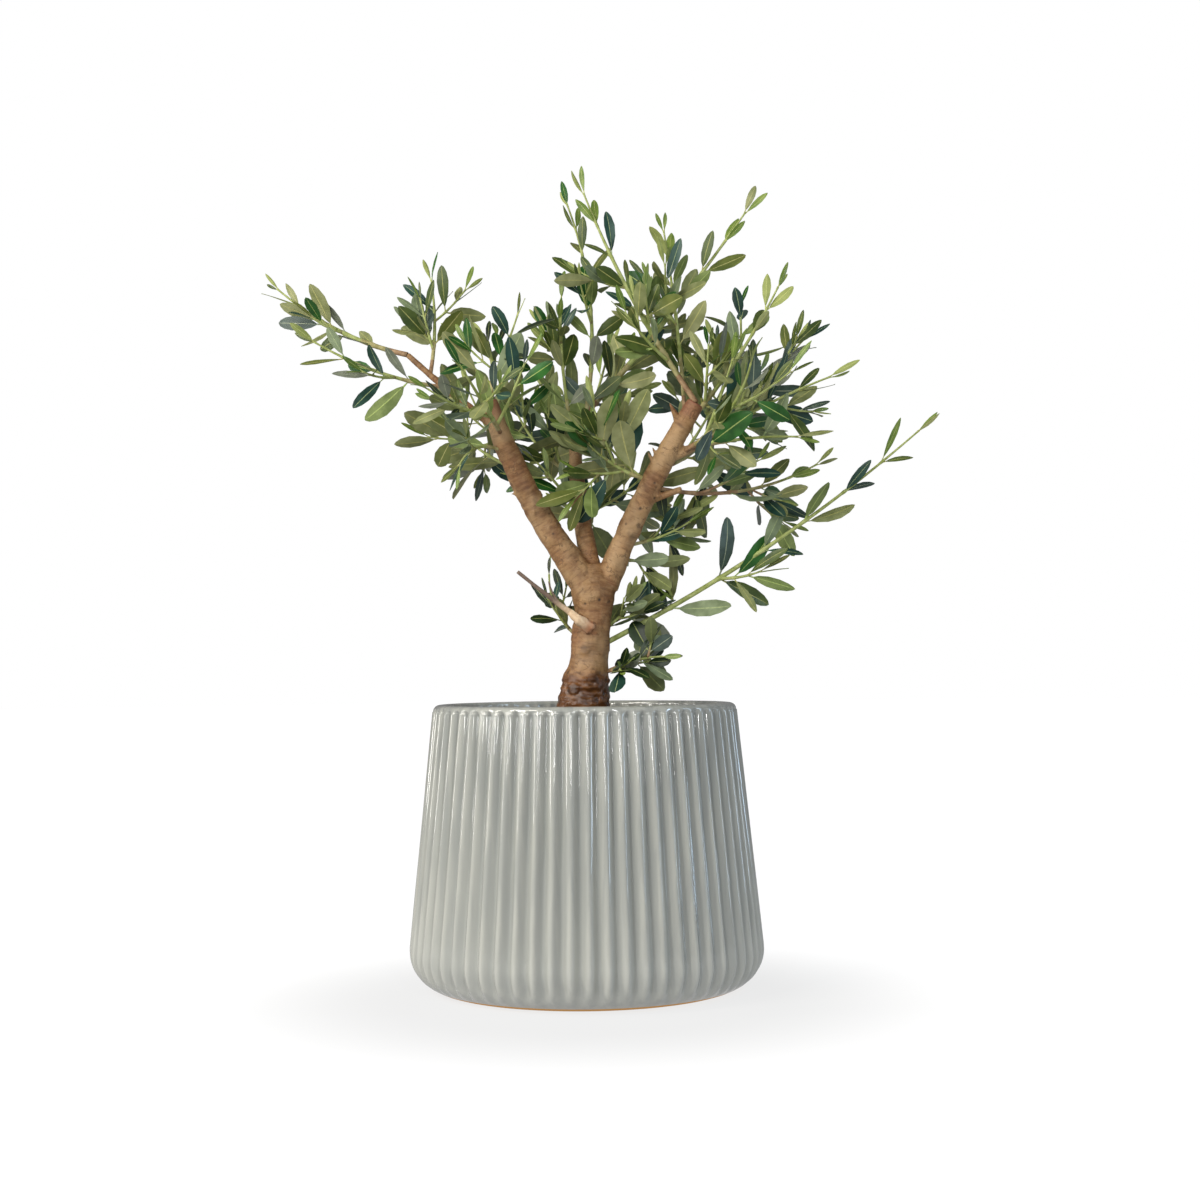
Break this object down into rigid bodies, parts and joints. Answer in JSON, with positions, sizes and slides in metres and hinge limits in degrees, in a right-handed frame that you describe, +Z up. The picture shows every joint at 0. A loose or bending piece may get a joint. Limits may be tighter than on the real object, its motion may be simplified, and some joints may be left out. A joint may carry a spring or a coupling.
{
  "type": "olive bonsai in a fluted planter",
  "caption": "Small potted olive tree: a short trunk forks into boughs with open sprays of narrow leaves, in a round glazed planter with upright flutes.",
  "frame": {"origin": "centre of the planter's flat underside", "axes": "+Z up, +X across the crown to its right, +Y to the back"},
  "size_m": [0.5901, 0.4057, 0.6973],
  "materials": {
    "glazed_stoneware": "glossy celadon grey glaze that thins on the ribs, over a buff clay foot",
    "potting_soil": "moist, crumbly bark and peat potting mix",
    "olive_bark": "matt tan bark with fine cross wrinkles, knots and pruning scars",
    "dead_wood": "dry grey-brown dead twig",
    "olive_leaf": "leathery leaves, dark green above and pale grey-green below, on thin green and brown twigs"
  },
  "bodies": {
    "root": {"planter": "glazed_stoneware", "soil": "potting_soil", "trunk": "olive_bark", "bough_left": "olive_bark", "bough_right": "olive_bark", "bough_back": "olive_bark", "branch_left": "olive_bark", "branch_right": "olive_bark", "stub_right": "olive_bark", "dead_twig": "dead_wood", "foliage_left_reach": "olive_leaf", "foliage_left_arm": "olive_leaf", "foliage_left_rise": "olive_leaf", "foliage_left_inner": "olive_leaf", "foliage_left_low": "olive_leaf", "foliage_left_hang": "olive_leaf", "foliage_mid_left": "olive_leaf", "foliage_mid_low": "olive_leaf", "foliage_top_left": "olive_leaf", "foliage_top_low": "olive_leaf", "foliage_top_main": "olive_leaf", "foliage_right_top": "olive_leaf", "foliage_right_rise": "olive_leaf", "foliage_right_up": "olive_leaf", "foliage_right_side": "olive_leaf", "foliage_right_out": "olive_leaf", "foliage_right_hang": "olive_leaf", "foliage_right_mid": "olive_leaf", "foliage_right_low": "olive_leaf", "foliage_low_fan": "olive_leaf", "foliage_low_right": "olive_leaf", "foliage_low_left": "olive_leaf", "foliage_mid_right": "olive_leaf", "foliage_right_under": "olive_leaf", "foliage_hang_right": "olive_leaf", "foliage_back_left": "olive_leaf", "foliage_back_mid": "olive_leaf", "foliage_back_right": "olive_leaf", "foliage_back_low": "olive_leaf", "foliage_front_left": "olive_leaf", "foliage_front_right": "olive_leaf"}
  },
  "joints": []
}
